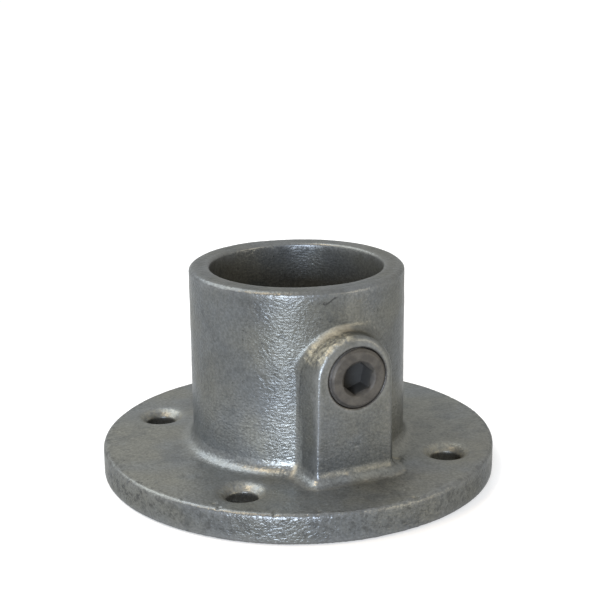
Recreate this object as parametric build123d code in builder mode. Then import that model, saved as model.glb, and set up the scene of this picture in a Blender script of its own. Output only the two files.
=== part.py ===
"""Base flange for tube clamp framing: a cast socket that stands one tube upright on a round foot.

The object is two pieces. The casting is one lump of malleable iron: a round foot with four
countersunk fixing holes, a collar that takes the tube and stops it on a lip, and a boss on
the collar's front that carries the thread. The set screw is a headless socket screw in that
thread, and it clamps the tube against the far side of the bore.

Millimetres. The origin is the centre of the foot's underside, +Z runs up the tube's axis,
and the set screw's outer end points along -Y.
"""

import os
from math import cos, radians, sin, tan

from build123d import *

# Socket for the tube
tube_diameter = 48.3
tube_clearance = 0.6  # radial gap round the tube
collar_wall = 6.0
collar_height = 60.0  # from the foot's underside to the collar's rim
stop_lip_width = 3.75  # step inwards at the bottom of the bore, on which the tube stands
stop_lip_height = 4.0
rim_outer_bevel = 0.9
rim_inner_bevel = 0.6

# Foot
foot_thickness = 8.5
foot_top_round = 1.3
foot_bottom_bevel = 0.5
collar_blend = 4.0  # hollow round between the collar and the foot
fixing_count = 4
fixing_offset = 13.75  # from the collar's outside to the centres of the fixing holes
fixing_margin = 12.5  # from those centres to the foot's rim
fixing_hole = 8.5
countersink_diameter = 12.4
countersink_angle = 84.0

# Boss for the set screw, an upright slab with an arched top and a flat face
boss_wall = 3.0  # beside the thread
boss_projection = 6.75  # from the collar's outside to the boss's face
boss_crown_rise = 0.8  # the arch is struck from this far above the screw
boss_draft = 1.2  # degrees, by which each side leans outwards towards the foot
boss_taper = 7.5  # degrees, by which sides and arch widen from the face to the collar
boss_face_round = 0.7
boss_blend = 2.4  # hollow round where the boss leaves the collar and the foot

# Set screw, 3/8 inch pipe thread
screw_below_rim = 22.9  # its axis, down from the collar's rim
thread_diameter = 16.66
thread_clearance = 0.05  # radial gap between the screw and its hole
thread_entry = 0.25  # chamfer where the hole meets the boss's face
thread_entry_angle = 90.0
screw_stand_out = 0.8  # outer end, in front of the boss's face
screw_tip_gap = 0.1  # point, behind the wall of the bore
screw_edge = 0.9  # chamfer round the outer end
point_taper = 2.2  # cone that leads to the point
cup_diameter = 12.0
cup_depth = 1.6
hexagon_key = 8.0  # across flats
hexagon_depth = 6.0
hexagon_turn = 18.0  # degrees about the screw's axis
hexagon_entry = 0.4  # countersink, outside the hexagon's corners
drill_point = 1.6  # cone that the drill left under the hexagon

# Sizes that follow
bore_radius = tube_diameter / 2 + tube_clearance
lip_radius = bore_radius - stop_lip_width
collar_radius = bore_radius + collar_wall
fixing_radius = collar_radius + fixing_offset
foot_radius = fixing_radius + fixing_margin
fixing_start = 180 / fixing_count  # degrees, so that the screw points between two holes
thread_radius = thread_diameter / 2
threaded_hole_radius = thread_radius + thread_clearance
screw_height = collar_height - screw_below_rim
boss_radius = thread_radius + boss_wall
boss_arch_height = screw_height + boss_crown_rise
boss_shoulder = boss_radius * cos(radians(boss_draft))  # half width where the arch meets the sides
boss_shoulder_height = boss_arch_height + boss_radius * sin(radians(boss_draft))
boss_foot_height = foot_thickness / 2  # its lower end, sunk in the foot
boss_foot = boss_shoulder + (boss_shoulder_height - boss_foot_height) * tan(radians(boss_draft))
boss_face = collar_radius + boss_projection
screw_face = boss_face + screw_stand_out
screw_tip = bore_radius + screw_tip_gap
key_radius = hexagon_key / 2
hexagon_radius = hexagon_key / 3**0.5
entry_radius = hexagon_radius + hexagon_entry


with BuildPart() as flange_casting:
    # Boss: an upright slab that widens from its face back into the collar, rounded along the face
    with BuildSketch(Plane.XZ.offset(boss_face)):
        with BuildLine():
            Polyline(
                (-boss_shoulder, boss_shoulder_height),
                (-boss_foot, boss_foot_height),
                (boss_foot, boss_foot_height),
                (boss_shoulder, boss_shoulder_height),
            )
            RadiusArc(
                (-boss_shoulder, boss_shoulder_height),
                (boss_shoulder, boss_shoulder_height),
                boss_radius,
            )
        make_face()
    extrude(amount=-(boss_face - lip_radius), taper=-boss_taper)
    face_outline = flange_casting.faces().sort_by(Axis.Y)[0].edges()
    fillet(face_outline.sort_by(Axis.Z)[1:], radius=boss_face_round)

    # Foot and collar, turned in one with the hollow round between them
    with BuildSketch(Plane.XZ):
        with BuildLine():
            Polyline(
                (collar_radius + collar_blend, foot_thickness),
                (foot_radius, foot_thickness),
                (foot_radius, 0),
                (0, 0),
                (0, collar_height),
                (collar_radius, collar_height),
                (collar_radius, foot_thickness + collar_blend),
            )
            RadiusArc(
                (collar_radius, foot_thickness + collar_blend),
                (collar_radius + collar_blend, foot_thickness),
                -collar_blend,
            )
        make_face()
    revolve(axis=Axis.Z)

    # The edges that this union makes are the whole seam round the boss: up its sides, over
    # the arch and along the foot. One rolling round fills it, crossing the turned one.
    fillet(flange_casting.edges(Select.NEW), radius=boss_blend)

    # Rim, and the foot's upper and lower edges
    chamfer(flange_casting.edges().group_by(Axis.Z)[-1], length=rim_outer_bevel)
    foot_edges = flange_casting.edges().filter_by(GeomType.CIRCLE).sort_by(SortBy.RADIUS)[-2:]
    fillet(foot_edges.sort_by(Axis.Z)[-1], radius=foot_top_round)
    chamfer(flange_casting.edges().group_by(Axis.Z)[0], length=foot_bottom_bevel)

    # Bore for the tube, down to the stop lip, and the hole through the lip
    with Locations((0, 0, collar_height)):
        CounterBoreHole(lip_radius, bore_radius, collar_height - stop_lip_height)
    rim_edges = flange_casting.edges().group_by(Axis.Z)[-1]
    chamfer(rim_edges.sort_by(SortBy.RADIUS)[0], length=rim_inner_bevel)

    # Countersunk fixing holes
    with Locations((0, 0, foot_thickness)):
        with PolarLocations(fixing_radius, fixing_count, start_angle=fixing_start):
            CounterSinkHole(
                fixing_hole / 2,
                countersink_diameter / 2,
                counter_sink_angle=countersink_angle,
            )

    # Threaded hole, from the boss's face into the bore
    with Locations(Plane.XZ.offset(boss_face)):
        with Locations((0, screw_height)):
            CounterSinkHole(
                threaded_hole_radius,
                threaded_hole_radius + thread_entry,
                depth=boss_face,
                counter_sink_angle=thread_entry_angle,
            )


with BuildPart() as set_screw:
    # Turned outline, drawn outwards along the screw's axis
    with BuildSketch(Plane(origin=(0, 0, screw_height), x_dir=(0, -1, 0), z_dir=(-1, 0, 0))):
        with BuildLine():
            Polyline(
                (screw_tip + cup_depth, 0),
                (screw_tip, cup_diameter / 2),
                (screw_tip + point_taper, thread_radius),
                (screw_face - screw_edge, thread_radius),
                (screw_face, thread_radius - screw_edge),
                (screw_face, entry_radius),
                (screw_face - entry_radius + key_radius, key_radius),
                (screw_face - hexagon_depth, key_radius),
                (screw_face - hexagon_depth - drill_point, 0),
                close=True,
            )
        make_face()
    revolve(axis=Axis((0, 0, screw_height), (0, -1, 0)))

    # Hexagon for the key
    with BuildSketch(Plane.XZ.offset(screw_face)):
        with Locations((0, screw_height)):
            RegularPolygon(hexagon_radius, 6, rotation=hexagon_turn)
    extrude(amount=-hexagon_depth, mode=Mode.SUBTRACT)


os.makedirs("parts", exist_ok=True)
flange_casting.part.label = "flange_casting"
export_step(flange_casting.part, "parts/flange_casting.step")
set_screw.part.label = "set_screw"
export_step(set_screw.part, "parts/set_screw.step")
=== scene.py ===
"""Looks of the tube clamp base flange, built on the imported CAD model.

The casting is remeshed finely from its CAD solid and given what this one casting has beside the
design: a boss that sits a little off, softer rounds there and at the countersinks, and the
wrinkled, pocked and dripping skin of hot-dip galvanised iron. The set screw is turned anew with
a real helical thread. Both get procedural materials, and the casting one dark scratch.

Lengths are millimetres in the row frame, except for the camera, the lamps and the floor, which
are in metres. A mesh is scaled to metres when its vertices are written.
"""

from math import cos, pi, radians, sin, tan

import bpy
import numpy as np
from mathutils import Euler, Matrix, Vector


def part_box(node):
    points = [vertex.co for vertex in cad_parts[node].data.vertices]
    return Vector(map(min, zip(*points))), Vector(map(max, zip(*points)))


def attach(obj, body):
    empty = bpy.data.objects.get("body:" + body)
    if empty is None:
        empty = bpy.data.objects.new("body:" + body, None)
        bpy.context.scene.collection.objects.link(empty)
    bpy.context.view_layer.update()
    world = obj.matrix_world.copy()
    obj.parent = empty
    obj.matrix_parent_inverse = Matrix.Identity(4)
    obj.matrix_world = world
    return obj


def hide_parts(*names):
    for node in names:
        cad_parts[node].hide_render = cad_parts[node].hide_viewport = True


MM = 0.001

# Collar and foot, as in the CAD model
BORE_RADIUS = 24.75
COLLAR_RADIUS = BORE_RADIUS + 6.0
COLLAR_HEIGHT = 60.0
FOOT_THICKNESS = 8.5
FIXING_RADIUS = COLLAR_RADIUS + 13.75  # of the circle that the fixing holes lie on
FIXING_ANGLES = (45, 135, 225, 315)
FIXING_HOLE_RADIUS = 4.25
COUNTERSINK_RADIUS = 6.2
COUNTERSINK_SLOPE = radians(42)  # between its wall and its axis
FOOT_RADIUS = FIXING_RADIUS + 12.5

# Set screw, 3/8 inch pipe thread, and its hole
SCREW_HEIGHT = COLLAR_HEIGHT - 22.9
THREAD_RADIUS = 8.33
HOLE_RADIUS = THREAD_RADIUS + 0.05
THREAD_PITCH = 1.337
THREAD_DEPTH = 0.82
SCREW_EDGE = 0.9
POINT_TAPER = 2.2
CUP_RADIUS = 6.0
CUP_DEPTH = 1.6
KEY_RADIUS = 4.0
KEY_DEPTH = 6.0
KEY_TURN = radians(18)
KEY_ENTRY_RADIUS = 5.02
DRILL_POINT = 1.6

# Boss, and the screw's two ends, which are set from its face and from the bore
BOSS_RADIUS = THREAD_RADIUS + 3.0
BOSS_FACE = COLLAR_RADIUS + 6.75
BOSS_DRAFT = radians(1.2)
BOSS_TAPER = radians(7.5)
SCREW_FACE = BOSS_FACE + 0.8
SCREW_TIP = BORE_RADIUS + 0.1

# What this casting has beside the design
BOSS_OFFSET = -0.4  # the boss sits a little beside the thread that is cut into it
BOSS_ARCH_HEIGHT = SCREW_HEIGHT + 0.4  # and its arch is struck a little low
BOSS_LEFT_EDGE = 0.7  # the round along its face is crisp on the left
BOSS_ARCH_EDGE = 1.6  # softer over the arch
BOSS_RIGHT_EDGE = 2.0  # and softest on the right
BOSS_SIDE_BLEND = 0.7  # the hollow round beside the boss is tight
BOSS_ARCH_BLEND = 1.8  # it opens out over the arch
BOSS_RIGHT_BLEND = 3.6  # and most of all to the arch's right
FOOT_BLEND = 4.0  # hollow round between the foot and all that stands on it
COUNTERSINK_EDGE = 1.3  # round that the zinc leaves along its mouth
SCRATCH = ((-6.5, -30.1, 55.8), (-2.2, -30.7, 58.3))  # its lower and upper end

# Meshing
WELD = 0.002  # vertices of the CAD mesh that lie closer than this are merged
VOXEL = 0.42
CASTING_TRIANGLES = 190_000
SCREW_SIDES = 96
RINGS_PER_TURN = 16  # of its thread


# ---------------------------------------------------------------- noise and form

def gradient_noise(points, wavelength, seed):
    """Perlin noise in about -1 to 1 at each row of points; wavelength may differ along x, y, z."""
    random = np.random.default_rng(seed)
    gradients = random.normal(size=(256, 3))
    gradients /= np.linalg.norm(gradients, axis=1, keepdims=True)
    order = random.permutation(256)
    scaled = points / np.asarray(wavelength, float) + random.uniform(0, 64, 3)
    cell = np.floor(scaled).astype(np.int64)
    inside = scaled - cell
    fade = inside**3 * (inside * (inside * 6 - 15) + 10)
    total = np.zeros(len(points))
    for corner in np.ndindex(2, 2, 2):
        at = (cell + corner) & 255
        pick = order[(order[(order[at[:, 0]] + at[:, 1]) & 255] + at[:, 2]) & 255]
        weight = np.prod(np.where(corner, fade, 1 - fade), axis=1)
        total += weight * np.einsum("ij,ij->i", gradients[pick], inside - corner)
    return total * 1.6


def ramp(values, low, high):
    """0 at low, 1 at high, with soft ends. low may be the greater."""
    share = np.clip((values - low) / (high - low), 0, 1)
    return share * share * (3 - 2 * share)


def round_union(a, b, radius):
    """Distance to the union of two forms with a hollow round between them."""
    reach = np.hypot(np.maximum(radius - a, 0), np.maximum(radius - b, 0))
    return np.maximum(radius, np.minimum(a, b)) - reach


def round_intersection(a, b, radius):
    """Distance to the intersection of two forms with its edge rounded."""
    reach = np.hypot(np.maximum(radius + a, 0), np.maximum(radius + b, 0))
    return np.minimum(-radius, np.maximum(a, b)) + reach


def front_form(p):
    """Signed distance from the casting's outside round the boss."""
    x, y, z = p.T
    beside = x - BOSS_OFFSET
    above = z - BOSS_ARCH_HEIGHT
    side = np.abs(beside) * cos(BOSS_DRAFT) + above * sin(BOSS_DRAFT) - BOSS_RADIUS
    arch = np.hypot(beside, above) - BOSS_RADIUS
    outline = np.where(above > np.abs(beside) * tan(BOSS_DRAFT), arch, side)
    below_roof = ramp(above, 9, 1)  # the roof has no taper
    widening = (y + BOSS_FACE) * tan(BOSS_TAPER) * below_roof
    outline = (outline - widening) * cos(BOSS_TAPER)

    over_arch = ramp(above, -6, 7)
    edge = BOSS_LEFT_EDGE + (BOSS_ARCH_EDGE - BOSS_LEFT_EDGE) * over_arch
    edge += (BOSS_RIGHT_EDGE - edge) * ramp(beside, 2, 9)
    boss = round_intersection(outline, -y - BOSS_FACE, edge)

    collar = np.hypot(x, y) - COLLAR_RADIUS
    blend = BOSS_SIDE_BLEND + (BOSS_ARCH_BLEND - BOSS_SIDE_BLEND) * over_arch
    blend += (BOSS_RIGHT_BLEND - blend) * ramp(beside, 1, 8) * over_arch
    return round_union(round_union(collar, boss, blend), z - FOOT_THICKNESS, FOOT_BLEND)


def from_fixing(p):
    """Distance from the axis of the nearest fixing hole."""
    centres = [FIXING_RADIUS * np.exp(1j * radians(angle)) for angle in FIXING_ANGLES]
    at = p[:, 0] + 1j * p[:, 1]
    return np.min([np.abs(at - centre) for centre in centres], axis=0)


def mouth_form(p):
    """Signed distance from the foot's top and the countersinks in it."""
    above = p[:, 2] - FOOT_THICKNESS
    wall = (COUNTERSINK_RADIUS - from_fixing(p)) * cos(COUNTERSINK_SLOPE)
    wall += above * sin(COUNTERSINK_SLOPE)
    return round_intersection(above, wall, COUNTERSINK_EDGE)


def settled(p, near, form):
    """The points, with those near moved onto a form that the CAD skin is close to."""
    nudge, longest = 0.01, 0.6
    moved = p[near]
    for _ in range(4):
        slope = np.stack([
            form(moved + step) - form(moved - step) for step in np.eye(3) * nudge
        ], axis=1) / (2 * nudge)
        distance = np.clip(form(moved), -longest, longest)
        share = distance / np.maximum((slope**2).sum(1), 0.3)
        moved = moved - slope * share[:, None]
    result = p.copy()
    result[near] = moved
    return result


def settle_on_forms(p):
    """Gives the skin the casting's own rounds, at the boss and at the fixing holes."""
    x, y, z = p.T
    near_boss = (np.abs(x) < 22) & (y < -20) & (np.hypot(x, y) > COLLAR_RADIUS - 2.75)
    near_boss &= (z > FOOT_THICKNESS - 0.4) & (z < BOSS_ARCH_HEIGHT + 19)
    near_boss &= np.hypot(x, z - SCREW_HEIGHT) > HOLE_RADIUS + 0.6
    p = settled(p, near_boss, front_form)

    past_mouth = from_fixing(p) - COUNTERSINK_RADIUS
    near_mouth = (past_mouth > -1.6) & (past_mouth < 2) & (p[:, 2] > FOOT_THICKNESS - 2)
    return settled(p, near_mouth, mouth_form)


# ---------------------------------------------------------------- meshes

def vectors(items, name):
    """One row for each item, from its property of that name."""
    flat = np.empty(len(items) * 3, np.float32)
    items.foreach_get(name, flat)
    return flat.reshape(-1, 3).astype(float)


def positions(mesh):
    """Vertex positions in millimetres."""
    return vectors(mesh.vertices, "co") / MM


def normals(mesh):
    """Vertex normals."""
    return vectors(mesh.vertex_normals, "vector")


def place(mesh, p):
    """Writes vertex positions given in millimetres."""
    mesh.vertices.foreach_set("co", (p * MM).astype(np.float32).ravel())
    mesh.update()


def attribute(mesh, name, values):
    """Writes one number for each vertex, for a material to read."""
    layer = mesh.attributes.new(name, "FLOAT", "POINT")
    layer.data.foreach_set("value", np.asarray(values, np.float32))


def modified(mesh, *modifiers):
    """The mesh after the given modifiers, each a kind and its settings."""
    holder = bpy.data.objects.new("holder", mesh)
    bpy.context.scene.collection.objects.link(holder)
    for kind, settings in modifiers:
        modifier = holder.modifiers.new(kind, kind)
        for key, value in settings.items():
            setattr(modifier, key, value)
    evaluated = holder.evaluated_get(bpy.context.evaluated_depsgraph_get())
    result = bpy.data.meshes.new_from_object(evaluated)
    bpy.data.objects.remove(holder)
    return result


def neighbour_mean(mesh, values, rounds):
    """Values averaged over each vertex's neighbours, rounds times."""
    edges = np.empty(len(mesh.edges) * 2, np.int32)
    mesh.edges.foreach_get("vertices", edges)
    a, b = edges.reshape(-1, 2).T
    count = np.bincount(a, minlength=len(values)) + np.bincount(b, minlength=len(values))
    for _ in range(rounds):
        total = np.zeros_like(values)
        for axis in range(values.shape[1]):
            total[:, axis] = np.bincount(a, values[b, axis], len(values))
            total[:, axis] += np.bincount(b, values[a, axis], len(values))
        values = total / np.maximum(count, 1)[:, None]
    return values


def curvature(mesh, spread):
    """How far each vertex stands off the mean of those within spread rings of it.

    It is above zero on edges and below zero in hollows, in millimetres.
    """
    p = positions(mesh)
    mean = neighbour_mean(mesh, p, spread)
    bend = np.einsum("ij,ij->i", p - mean, normals(mesh))
    return neighbour_mean(mesh, bend[:, None], 2)[:, 0]


def piece(name, mesh, material):
    """A visible object made of the mesh."""
    mesh.name = name
    mesh.shade_smooth()
    mesh.materials.clear()
    mesh.materials.append(material)
    made = bpy.data.objects.new(name, mesh)
    bpy.context.scene.collection.objects.link(made)
    return made


# ---------------------------------------------------------------- casting

def on_roof(p, n):
    """1 on the arched roof of the boss, where the zinc ran together in drips."""
    x, y, z = p.T
    roof = ramp(-y, COLLAR_RADIUS - 3, COLLAR_RADIUS - 1) * ramp(n[:, 2], 0.25, 0.5)
    left = ramp(x, 0.5, -3) * (x > -16)
    return roof * left * ramp(z, 40.5, 42) * ramp(z, 51, 49.5)


def skin_height(p, n):
    """How far the galvanised skin stands off the true form, in millimetres."""
    x, y, z = p.T
    radial = np.hypot(x, y)
    swell = 0.10 * gradient_noise(p, 22, 1) + 0.05 * gradient_noise(p, 8, 2)

    swirl = np.stack([gradient_noise(p, 6, seed) for seed in (3, 4, 5)], axis=1)
    patch = 0.45 + 0.55 * ramp(gradient_noise(p, 26, 7), -0.4, 0.4)
    wrinkle = 0.020 * patch * gradient_noise(p + 1.2 * swirl, 2.6, 6)

    on_rim = ramp(radial, FOOT_RADIUS - 4, FOOT_RADIUS - 1)
    on_rim *= ramp(z, FOOT_THICKNESS - 3, FOOT_THICKNESS - 1)
    pocked = ramp(gradient_noise(p, 19, 9), -0.1, 0.3)
    pock = ramp(gradient_noise(p, 2.1, 8), 0.46, 0.72) * pocked
    pock *= 0.10 + 0.16 * on_rim

    drip = 0.26 * gradient_noise(p, (1.9, 1.2, 1.9), 10) * on_roof(p, n)
    sunk = 0.03  # which leaves less of the skin to cut off at the CAD node's box
    height = swell + wrinkle - pock + drip - sunk

    # It stays on the true form round the thread's hole, and near it in the bore
    from_screw = np.hypot(x, z - SCREW_HEIGHT)
    clear = ramp(from_screw, HOLE_RADIUS + 0.7, HOLE_RADIUS + 2.2)
    in_front = (y < 0) & (radial > BORE_RADIUS - 1)
    in_bore = (radial < BORE_RADIUS + 0.3) & (z > 1)
    return height * np.where(in_front, clear, 1) * np.where(in_bore, 0.35, 1)


def casting_mesh(node):
    """The casting's skin, remeshed from its CAD node and kept inside that node's box."""
    welded = ("WELD", {"merge_threshold": WELD * MM})
    voxels = ("REMESH", {"mode": "VOXEL", "voxel_size": VOXEL * MM})
    mesh = modified(node.data.copy(), welded, voxels)
    p = settle_on_forms(positions(mesh))
    place(mesh, p)
    n = normals(mesh)
    p = p + n * skin_height(p, n)[:, None]

    low, high = (np.array(corner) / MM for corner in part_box("flange_casting"))
    place(mesh, np.clip(p, low, high))
    mesh = modified(mesh, ("TRIANGULATE", {}))
    mesh = modified(mesh, ("DECIMATE", {"ratio": min(1, CASTING_TRIANGLES / len(mesh.polygons))}))
    place(mesh, np.clip(positions(mesh), low, high))
    add_surface_attributes(mesh)
    return mesh


def add_surface_attributes(mesh):
    """What the zinc material needs to know of the form, at each vertex."""
    p, n = positions(mesh), normals(mesh)
    x, y, z = p.T
    radial = np.hypot(x, y)
    left_of_boss = np.degrees(np.arctan2(-x, -y))
    from_hole = from_fixing(p)
    from_screw = np.hypot(x, z - SCREW_HEIGHT)
    facing_up = ramp(n[:, 2], 0.3, 0.8)
    outside = ramp(radial, BORE_RADIUS + 1.5, BORE_RADIUS + 3)
    on_foot = ramp(z, FOOT_THICKNESS + 2, FOOT_THICKNESS + 1)
    on_rim = ramp(radial, FOOT_RADIUS - 1.5, FOOT_RADIUS - 0.3)
    on_boss = ramp(-y, COLLAR_RADIUS - 1.2, COLLAR_RADIUS - 0.2) * (1 - on_foot)
    on_boss *= ramp(np.abs(x), 14.5, 13)
    roof = on_roof(p, n)

    # Zinc is rubbed bright on edges and lies thick and pale in hollows, except right of the arch;
    # that pale warm tint also paints the warm highlight of the hollow rounds
    bend = curvature(mesh, 3)
    attribute(mesh, "edge", ramp(bend, 0.02, 0.09))
    hollow = ramp(-bend, 0.02, 0.09) * ramp(n[:, 2], 0.1, 0.4)
    hollow *= 1 - 0.4 * ramp(left_of_boss, 60, 90)
    hollow *= 1 - 0.85 * ramp(x, 0, 2.5) * ramp(z, 30, 34)
    attribute(mesh, "hollow", hollow)

    # Painted light: paler low on the collar, most of all left of the boss where the key's band
    # falls, darker high up there, and paler on the foot's top, where the collar and boss reflect
    # dark
    low = ramp(z, 34, 12) * ramp(z, 8, 13)
    high = ramp(z, 40, 52)
    painted_highlight_side = ramp(left_of_boss, 66, 44) * (left_of_boss > 0)
    painted_light = outside * low * (0.40 + 0.70 * painted_highlight_side) * (1 - on_boss)
    painted_light -= 0.14 * outside * high * painted_highlight_side
    painted_light += (0.46 + 0.08 * ramp(np.abs(x), 8, 30) - painted_light) * on_foot * facing_up
    attribute(mesh, "painted_light", painted_light * (1 - on_rim))

    # Dross crusts the boss's roof and the countersinks, and dirt the foot's rim; on the roof its
    # pale warm colour is also a painted warm highlight
    in_mouth = ramp(from_hole, COUNTERSINK_RADIUS + 0.8, COUNTERSINK_RADIUS - 0.2)
    in_mouth *= ramp(z, FOOT_THICKNESS - 3, FOOT_THICKNESS - 2) * on_foot
    attribute(mesh, "dross_and_highlight", np.maximum(roof, 0.4 * in_mouth))
    pitted = ramp(radial, FOOT_RADIUS - 3, FOOT_RADIUS - 1) * ramp(z, 1, 3)
    pitted *= 0.8 + 0.6 * ramp(np.abs(left_of_boss), 55, 85)
    attribute(mesh, "pitted", pitted)

    # How far the fine wrinkles of the material stand out
    wrinkled = 0.45 + 0.35 * outside
    wrinkled += (0.35 - wrinkled) * on_boss * (1 - roof)
    wrinkled += (0.50 - wrinkled) * on_foot * facing_up
    wrinkled += (1.15 - wrinkled) * on_rim * (1 - facing_up)
    wrinkled *= 1 - 0.7 * (from_hole < FIXING_HOLE_RADIUS + 0.35)
    attribute(mesh, "wrinkled", wrinkled)

    # Painted shade in the gap round the screw, along the edge of its hole
    gap_shade = ramp(from_screw, HOLE_RADIUS + 0.7, HOLE_RADIUS + 0.3) * (y < 0)
    attribute(mesh, "thread", gap_shade)


# ---------------------------------------------------------------- set screw

def screw_mesh():
    """The set screw as rings of points along its own axis, from the cup at its point outwards.

    A ring's place is its distance from the collar's axis, counted along -Y.
    """
    angle = KEY_TURN + np.arange(SCREW_SIDES) * 2 * pi / SCREW_SIDES
    to_flat = (angle - KEY_TURN) % (pi / 3) - pi / 6
    hexagon = KEY_RADIUS / np.cos(to_flat)

    def limit(along):
        """Radius of the turned blank, before the thread is cut."""
        rise = (THREAD_RADIUS - CUP_RADIUS) / POINT_TAPER
        point = CUP_RADIUS + (along - SCREW_TIP) * rise
        edge = THREAD_RADIUS - SCREW_EDGE + (SCREW_FACE - along)
        return min(point, edge, THREAD_RADIUS)

    def threaded(along):
        """Radius at each angle, with the helical groove cut."""
        turn = (along / THREAD_PITCH - angle / (2 * pi)) % 1
        groove = ramp(1 - np.abs(2 * turn - 1), 0.12, 0.88)
        return np.minimum(limit(along), THREAD_RADIUS - THREAD_DEPTH * groove)

    rings = []

    def ring(along, radius):
        """Adds one ring. Both numbers may differ from angle to angle."""
        radius = np.broadcast_to(np.asarray(radius, float), SCREW_SIDES)
        along = np.broadcast_to(np.asarray(along, float), SCREW_SIDES)
        rings.append(np.stack([
            radius * np.cos(angle), -along, SCREW_HEIGHT + radius * np.sin(angle)
        ], axis=1))

    centre = 0.02  # radius of the small rings that close both ends

    # Cup at the point, and the thread
    for share in (0.0, 0.25, 0.5, 0.75, 0.94, 1.0):
        ring(SCREW_TIP + CUP_DEPTH * (1 - share), max(CUP_RADIUS * share, centre))
    for along in np.arange(SCREW_TIP + 0.08, SCREW_FACE - 0.14, THREAD_PITCH / RINGS_PER_TURN):
        ring(along, threaded(along))

    # End face, softened along both of its edges
    face_radius = THREAD_RADIUS - SCREW_EDGE
    ring(SCREW_FACE - 0.12, face_radius + 0.12)
    ring(SCREW_FACE - 0.03, face_radius + 0.02)
    ring(SCREW_FACE, face_radius - 0.10)
    for radius in (7.0, 6.3, 5.6, KEY_ENTRY_RADIUS + 0.12):
        ring(SCREW_FACE, radius)
    ring(SCREW_FACE - 0.02, KEY_ENTRY_RADIUS)
    ring(SCREW_FACE - 0.06, KEY_ENTRY_RADIUS - 0.06)

    # Hexagon, whose walls begin on a cone, and the drill point under it
    key_floor = SCREW_FACE - KEY_DEPTH
    wall_top = SCREW_FACE - (KEY_ENTRY_RADIUS - hexagon)
    for share in (0.0, 0.04, 0.3, 0.6, 0.97, 1.0):
        ring(wall_top + (key_floor - wall_top) * share, hexagon)
    ring(key_floor, KEY_RADIUS * 0.96)
    ring(key_floor - DRILL_POINT * 0.5, KEY_RADIUS * 0.5)
    ring(key_floor - DRILL_POINT, centre)

    start = np.arange(SCREW_SIDES)
    after = (start + 1) % SCREW_SIDES
    faces = [tuple(start)]
    for here in np.arange(len(rings) - 1) * SCREW_SIDES:
        there = here + SCREW_SIDES
        faces += list(zip(here + start, there + start, there + after, here + after))
    faces.append(tuple((len(rings) - 1) * SCREW_SIDES + start[::-1]))
    mesh = bpy.data.meshes.new("set_screw_turned")
    mesh.from_pydata((np.concatenate(rings) * MM).tolist(), [], [
        [int(i) for i in face] for face in faces
    ])
    mesh.validate()
    p = positions(mesh)
    from_axis = np.hypot(p[:, 0], p[:, 2] - SCREW_HEIGHT)
    deep = ramp(-p[:, 1], SCREW_FACE - 0.7, SCREW_FACE - 1.3)
    attribute(mesh, "socket", deep * (from_axis < KEY_ENTRY_RADIUS))
    return mesh


# ---------------------------------------------------------------- materials

def node(tree, kind, inputs=None, **settings):
    """Adds a shader node. inputs gives, per socket, a value or another node's output."""
    made = tree.nodes.new("ShaderNode" + kind)
    for key, value in settings.items():
        setattr(made, key, value)
    for key, value in (inputs or {}).items():
        if isinstance(value, bpy.types.NodeSocket):
            tree.links.new(value, made.inputs[key])
        else:
            made.inputs[key].default_value = value
    return made


def noise(tree, where, size, detail=2.0, roughness=0.5, squash=(1, 1, 1), output="Fac"):
    """Noise texture whose features are about size millimetres across."""
    scaled = node(tree, "Mapping", {"Vector": where, "Scale": [s / (size * MM) for s in squash]})
    made = node(tree, "TexNoise", {
        "Vector": scaled.outputs["Vector"], "Scale": 1.0, "Detail": detail, "Roughness": roughness,
    })
    return made.outputs[output]


def given(tree, name):
    """What the mesh holds under that name, as a node's output."""
    return node(tree, "Attribute", attribute_name=name).outputs["Fac"]


def spread(tree, value, low, high, to_low=0.0, to_high=1.0):
    """The value mapped from low and high, with soft ends."""
    made = node(tree, "MapRange", {
        "Value": value, "From Min": low, "From Max": high, "To Min": to_low, "To Max": to_high,
    }, interpolation_type="SMOOTHSTEP")
    return made.outputs["Result"]


def maths(tree, operation, a, b=0.0):
    made = node(tree, "Math", {0: a, 1: b}, operation=operation)
    return made.outputs["Value"]


def vector_maths(tree, operation, *inputs):
    made = node(tree, "VectorMath", dict(enumerate(inputs)), operation=operation)
    return made.outputs["Value" if operation == "DOT_PRODUCT" else "Vector"]


def between(tree, share, a, b):
    """Colour a where the share is 0 and colour b where it is 1."""
    made = node(tree, "Mix", {0: share, 6: a, 7: b}, data_type="RGBA")
    return made.outputs[2]


def tinted(tree, colour, share, strength, tint):
    """The colour with another laid over a share of it."""
    return between(tree, maths(tree, "MULTIPLY", share, strength), colour, tint)


def brightened(tree, colour, share):
    """The colour made brighter by a share of itself."""
    return vector_maths(tree, "MULTIPLY_ADD", colour, share, colour)


def new_material(name):
    """The material, its node tree and its shader."""
    material = bpy.data.materials.new(name)
    material.use_nodes = True
    return material, material.node_tree, material.node_tree.nodes["Principled BSDF"]


def bumped(tree, height, distance, normal=None, strength=1.0):
    """A normal bent by a height of 0 to 1, which stands for distance millimetres."""
    inputs = {"Height": height, "Distance": distance * MM, "Strength": strength}
    if normal is not None:
        inputs["Normal"] = normal
    return node(tree, "Bump", inputs).outputs["Normal"]


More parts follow.
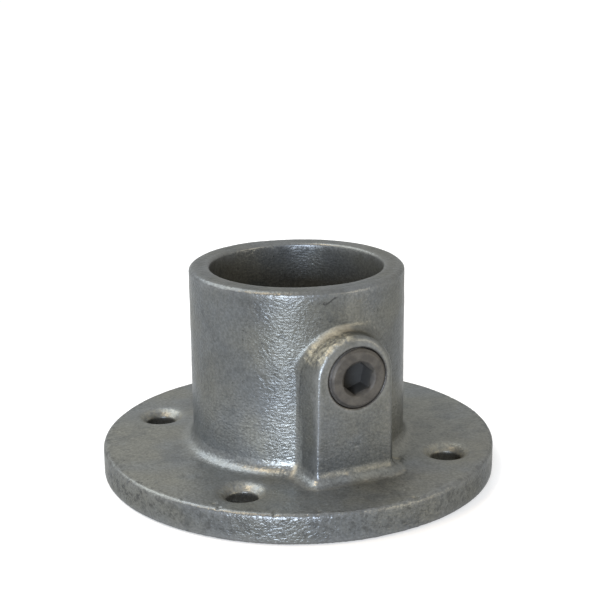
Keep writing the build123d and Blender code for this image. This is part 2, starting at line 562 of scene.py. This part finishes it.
def scratch(tree, where):
    """A dark scratch just under the rim, above the boss, as a share of the surface."""
    low, high = (Vector(end) * MM for end in SCRATCH)
    along = (high - low).normalized()
    forward = Vector((0, -1, 0))
    across = along.cross(forward)

    wavering = spread(tree, noise(tree, where, 1.2, 3), 0.3, 0.7, -0.25 * MM, 0.25 * MM)
    beside = vector_maths(tree, "DOT_PRODUCT", where, across)
    beside = maths(tree, "SUBTRACT", maths(tree, "ADD", beside, wavering), low.dot(across))
    line = spread(tree, maths(tree, "ABSOLUTE", beside), 0.12 * MM, 0.38 * MM, 1.0, 0.0)

    travel = vector_maths(tree, "DOT_PRODUCT", where, along)
    start = spread(tree, travel, low.dot(along), low.dot(along) + 1 * MM)
    end = spread(tree, travel, high.dot(along) - 1 * MM, high.dot(along), 1.0, 0.0)
    front = vector_maths(tree, "DOT_PRODUCT", where, forward)
    outside = spread(tree, front, 27 * MM, 28 * MM, 0.0, 0.75)
    line = maths(tree, "MULTIPLY", line, outside)
    return maths(tree, "MULTIPLY", line, maths(tree, "MULTIPLY", start, end))


def zinc_colour(tree, where, cloud, mottle, hollow, dross_and_highlight):
    """Blue and olive greys, then stains, grain, dirt, rubbed edges, pale zinc that also paints
    highlights, painted light and shade, and the scratch.
    """
    colour = between(tree, cloud, (0.093, 0.098, 0.098, 1), (0.103, 0.103, 0.090, 1))
    colour = tinted(tree, colour, mottle, 0.35, (0.086, 0.087, 0.079, 1))

    small = spread(tree, noise(tree, where, 5.5, 5, 0.7), 0.56, 0.70)
    large = spread(tree, noise(tree, where, 15, 6, 0.75), 0.52, 0.66)
    stain = maths(tree, "MAXIMUM", small, large)
    colour = tinted(tree, colour, stain, 0.42, (0.050, 0.053, 0.053, 1))
    grain = spread(tree, noise(tree, where, 0.75, 3, 0.65), 0.34, 0.66, -0.16, 0.16)
    colour = brightened(tree, colour, grain)

    pitted = given(tree, "pitted")
    speckled = spread(tree, noise(tree, where, 13, 2), 0.47, 0.60)
    speckled = maths(tree, "MAXIMUM", speckled, pitted)
    speck = spread(tree, noise(tree, where, 1.1, 2, 0.6), 0.66, 0.74)
    speck = maths(tree, "MULTIPLY", speck, speckled)
    grime = spread(tree, noise(tree, where, 1.7, 4, 0.7), 0.50, 0.60)
    grime = maths(tree, "MULTIPLY", grime, maths(tree, "MULTIPLY", pitted, 0.7))
    dirt = maths(tree, "MAXIMUM", speck, grime)
    colour = tinted(tree, colour, dirt, 0.8, (0.03, 0.03, 0.028, 1))

    colour = tinted(tree, colour, given(tree, "edge"), 0.2, (0.22, 0.225, 0.225, 1))
    # Pale warm zinc in hollows, partly a painted warm highlight
    colour = tinted(tree, colour, hollow, 0.7, (0.25, 0.225, 0.17, 1))
    # Painted light and shade on the collar and the foot's top
    colour = brightened(tree, colour, given(tree, "painted_light"))
    # Beige dross, which on the boss's roof is also a painted warm highlight
    crust_and_highlight = spread(tree, noise(tree, where, 1.0, 3, 0.7), 0.38, 0.62, 0.15, 0.90)
    colour = between(tree, maths(tree, "MULTIPLY", crust_and_highlight, dross_and_highlight), colour, (0.27, 0.25, 0.19, 1))

    colour = between(tree, scratch(tree, where), colour, (0.025, 0.025, 0.024, 1))
    # Painted shade in the gap round the screw's hole
    return between(tree, given(tree, "thread"), colour, (0.035, 0.032, 0.028, 1))


def zinc_relief(tree, where):
    """Fine grain, and wrinkles that drift about and run mostly level, as a normal."""
    grain = bumped(tree, noise(tree, where, 0.55, 3, 0.6), 0.03)
    drift = noise(tree, where, 5, 1.0, output="Color")
    drift = vector_maths(tree, "SUBTRACT", drift, (0.5, 0.5, 0.5))
    carried = vector_maths(tree, "MULTIPLY_ADD", drift, (0.8 * MM,) * 3, where)
    wrinkle = noise(tree, carried, 0.9, 1.2, squash=(0.85, 0.85, 1.35))
    strength = maths(tree, "MULTIPLY", given(tree, "wrinkled"), 0.8)
    return bumped(tree, wrinkle, 0.25, grain, strength)


def zinc_material():
    """Hot-dip galvanised iron, dull, wrinkled and dirty, and matt where the zinc lies thick."""
    material, tree, shader = new_material("galvanised_casting")
    where = node(tree, "TexCoord").outputs["Object"]
    hollow, dross_and_highlight = given(tree, "hollow"), given(tree, "dross_and_highlight")
    cloud = spread(tree, noise(tree, where, 24, 3), 0.38, 0.62)
    mottle = spread(tree, noise(tree, where, 3.2, 4, 0.62), 0.34, 0.66)
    colour = zinc_colour(tree, where, cloud, mottle, hollow, dross_and_highlight)
    tree.links.new(colour, shader.inputs["Base Color"])

    rough = spread(tree, maths(tree, "ADD", mottle, cloud), 0.2, 1.8, 0.30, 0.38)
    matt = maths(tree, "MAXIMUM", hollow, maths(tree, "MULTIPLY", dross_and_highlight, 0.4))
    rough = maths(tree, "ADD", rough, maths(tree, "MULTIPLY", matt, 0.30))
    tree.links.new(rough, shader.inputs["Roughness"])
    shader.inputs["Metallic"].default_value = 0.6
    shader.inputs["Specular IOR Level"].default_value = 0.3
    shader.inputs["Specular Tint"].default_value = (0.4, 0.42, 0.43, 1)
    tree.links.new(zinc_relief(tree, where), shader.inputs["Normal"])
    return material


def screw_material():
    """Dull, slightly stained steel, rougher and without metal sheen down in the socket, whose
    darker colour there is painted shade.
    """
    material, tree, shader = new_material("screw_steel")
    where = node(tree, "TexCoord").outputs["Object"]
    socket = given(tree, "socket")
    stain = spread(tree, noise(tree, where, 3.0, 4, 0.65), 0.36, 0.66)
    colour = between(tree, stain, (0.080, 0.074, 0.064, 1), (0.054, 0.050, 0.044, 1))
    # Painted shade down in the socket
    colour = between(tree, socket, colour, (0.036, 0.035, 0.032, 1))
    tree.links.new(colour, shader.inputs["Base Color"])
    tree.links.new(spread(tree, socket, 0, 1, 0.70, 0.0), shader.inputs["Metallic"])
    tree.links.new(spread(tree, socket, 0, 1, 0.2, 0.0), shader.inputs["Specular IOR Level"])
    rough = spread(tree, noise(tree, where, 1.0, 3), 0.3, 0.7, 0.56, 0.70)
    rough = maths(tree, "ADD", rough, maths(tree, "MULTIPLY", socket, 0.3))
    tree.links.new(rough, shader.inputs["Roughness"])
    grain = bumped(tree, noise(tree, where, 0.5, 3, 0.6), 0.02)
    tree.links.new(grain, shader.inputs["Normal"])
    return material


# ---------------------------------------------------------------- stage, lights and camera

CAMERA_AZIMUTH = 25.27  # degrees, to the left of the boss's axis
CAMERA_ELEVATION = 16.1
CAMERA_ROLL = -0.61
CAMERA_DISTANCE = 0.389
CAMERA_LENS = 81.36
CAMERA_AIM_RIGHT = 0.00091  # of the part's axis, as the camera sees it
CAMERA_AIM_HEIGHT = 0.04911
LAMP_AIM_HEIGHT = 0.03
ROOM_LIGHT = 0.85  # strength at which the white room lights the part
FLOOR_HALF_WIDTH = 3.0
FLOOR_HEIGHT = -0.0002  # just clear of the part's flat underside
WHITE = (1, 1, 1, 1)


def towards(azimuth, elevation):
    """Direction from the part, with the azimuth counted to the left of the camera's, in degrees."""
    turn = radians(CAMERA_AZIMUTH + azimuth)
    lift = radians(elevation)
    return Vector((-sin(turn) * cos(lift), -cos(turn) * cos(lift), sin(lift)))


def add_camera():
    """The camera, in front of the part on its left, looking down into the collar."""
    camera = bpy.data.objects.new("camera", bpy.data.cameras.new("camera"))
    bpy.context.scene.collection.objects.link(camera)
    bpy.context.scene.camera = camera
    camera.data.lens = CAMERA_LENS
    turn = radians(CAMERA_AZIMUTH)
    aim = Vector((cos(turn), -sin(turn), 0)) * CAMERA_AIM_RIGHT
    aim.z = CAMERA_AIM_HEIGHT
    back = towards(0, CAMERA_ELEVATION)
    camera.location = aim + back * CAMERA_DISTANCE
    camera.rotation_mode = "QUATERNION"
    roll = Euler((0, 0, radians(CAMERA_ROLL))).to_quaternion()
    camera.rotation_quaternion = back.to_track_quat("Z", "Y") @ roll


def add_softbox(name, azimuth, elevation, distance, width, height, power, colour):
    """A rectangular lamp that faces the part."""
    lamp = bpy.data.lights.new(name, "AREA")
    lamp.shape = "RECTANGLE"
    lamp.size = width
    lamp.size_y = height
    lamp.energy = power
    lamp.color = colour
    made = bpy.data.objects.new(name, lamp)
    bpy.context.scene.collection.objects.link(made)
    direction = towards(azimuth, elevation)
    made.location = Vector((0, 0, LAMP_AIM_HEIGHT)) + direction * distance
    made.rotation_mode = "QUATERNION"
    made.rotation_quaternion = direction.to_track_quat("Z", "Y")


def add_lamps():
    """Cool light from the front and the left, warm light from above and the right."""
    add_softbox(
        "key", azimuth=13, elevation=8, distance=1.1,
        width=0.46, height=0.26, power=17, colour=(0.70, 0.80, 1.0),
    )
    add_softbox(
        "top", azimuth=56, elevation=60, distance=1.0,
        width=0.26, height=0.26, power=3.2, colour=(1.0, 0.74, 0.42),
    )
    add_softbox(
        "left", azimuth=112, elevation=52, distance=1.0,
        width=0.90, height=0.90, power=11, colour=(0.88, 0.94, 1.0),
    )
    add_softbox(
        "right", azimuth=-62, elevation=14, distance=1.1,
        width=0.60, height=0.40, power=3.5, colour=(1.0, 0.87, 0.66),
    )


def add_world():
    """A white room. The camera and what mirrors the room see it full white."""
    world = bpy.data.worlds.new("studio")
    bpy.context.scene.world = world
    world.use_nodes = True
    tree = world.node_tree
    room = tree.nodes["Background"]
    room.inputs["Color"].default_value = WHITE
    room.inputs["Strength"].default_value = ROOM_LIGHT
    white = node(tree, "Background", {"Color": WHITE, "Strength": 1.0})
    path = node(tree, "LightPath")
    seen = maths(tree, "MAXIMUM", path.outputs["Is Camera Ray"], path.outputs["Is Glossy Ray"])
    mixed = node(tree, "MixShader", {
        0: seen, 1: room.outputs["Background"], 2: white.outputs["Background"],
    })
    tree.links.new(mixed.outputs["Shader"], tree.nodes["World Output"].inputs["Surface"])


def add_floor():
    """A pale floor that glows a little, so that it renders white and keeps the shadow."""
    corners = [
        (x * FLOOR_HALF_WIDTH, y * FLOOR_HALF_WIDTH, FLOOR_HEIGHT)
        for x, y in ((-1, -1), (1, -1), (1, 1), (-1, 1))
    ]
    mesh = bpy.data.meshes.new("floor")
    mesh.from_pydata(corners, [], [(0, 1, 2, 3)])
    material, _, shader = new_material("floor")
    shader.inputs["Base Color"].default_value = (0.5, 0.5, 0.5, 1)
    shader.inputs["Roughness"].default_value = 0.35
    shader.inputs["Emission Color"].default_value = WHITE
    shader.inputs["Emission Strength"].default_value = 0.45
    mesh.materials.append(material)
    floor = bpy.data.objects.new("floor", mesh)
    bpy.context.scene.collection.objects.link(floor)


# ---------------------------------------------------------------- the scene

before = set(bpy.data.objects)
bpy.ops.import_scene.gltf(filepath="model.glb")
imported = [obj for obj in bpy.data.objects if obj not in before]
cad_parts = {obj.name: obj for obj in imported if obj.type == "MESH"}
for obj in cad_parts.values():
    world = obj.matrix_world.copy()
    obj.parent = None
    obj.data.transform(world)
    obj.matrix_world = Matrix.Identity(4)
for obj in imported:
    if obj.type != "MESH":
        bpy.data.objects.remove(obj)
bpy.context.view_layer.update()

casting = piece("casting_skin", casting_mesh(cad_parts["flange_casting"]), zinc_material())
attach(casting, "casting")
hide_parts("flange_casting")

screw = piece("socket_screw", screw_mesh(), screw_material())
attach(screw, "set_screw")
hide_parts("set_screw")

add_camera()
add_floor()
add_world()
add_lamps()
bpy.context.scene.view_settings.view_transform = "Standard"
